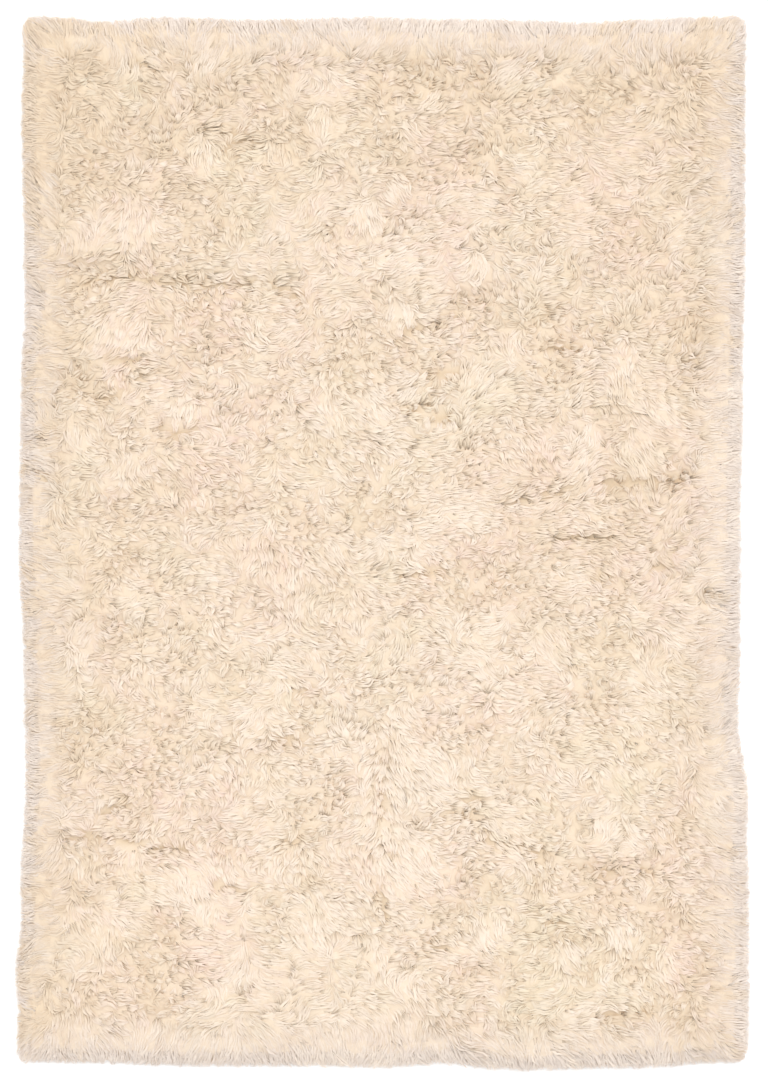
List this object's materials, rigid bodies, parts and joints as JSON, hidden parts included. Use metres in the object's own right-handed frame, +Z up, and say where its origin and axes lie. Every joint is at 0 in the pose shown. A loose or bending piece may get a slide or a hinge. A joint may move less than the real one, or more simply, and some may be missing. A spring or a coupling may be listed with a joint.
{
  "type": "shag rug",
  "caption": "Long-pile wool shag rug lying flat: an ivory oblong with soft pointed locks combed out past its edges and swirled over its face.",
  "frame": {"origin": "middle of the rug's bounding box, on the floor that it lies on", "axes": "+Z up from the floor, +Y along the long side towards the top of the picture, +X across it"},
  "size_m": [1.2957, 1.86, 0.0459],
  "materials": {
    "wool_pile": "matt undyed ivory wool in long loose locks",
    "woven_ground": "matt plain-woven natural wool"
  },
  "bodies": {
    "root": {"rug": "wool_pile"}
  },
  "joints": []
}
